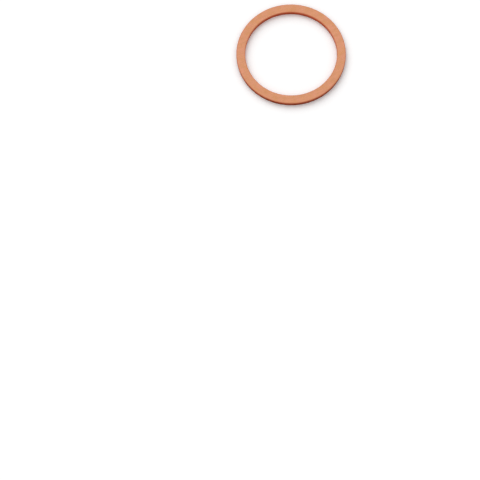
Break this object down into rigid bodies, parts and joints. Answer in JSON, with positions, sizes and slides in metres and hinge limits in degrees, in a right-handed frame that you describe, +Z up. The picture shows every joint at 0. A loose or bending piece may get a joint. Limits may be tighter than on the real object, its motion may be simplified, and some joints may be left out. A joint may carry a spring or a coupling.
{
  "type": "copper crush washer",
  "caption": "Flat round sealing ring in soft copper, pressed from sheet, which is crushed between a drain plug or banjo bolt and its threaded port to seal it.",
  "frame": {"origin": "centre of the bore, on the lower sealing face", "axes": "+Z up along the bore's axis, from the sealing face with the tumbled edges to the one with the rounded shoulders"},
  "size_m": [0.031, 0.031, 0.0015],
  "materials": {
    "annealed_copper": "satin, tumbled after annealing"
  },
  "bodies": {
    "root": {"crush_washer": "annealed_copper"}
  },
  "joints": []
}
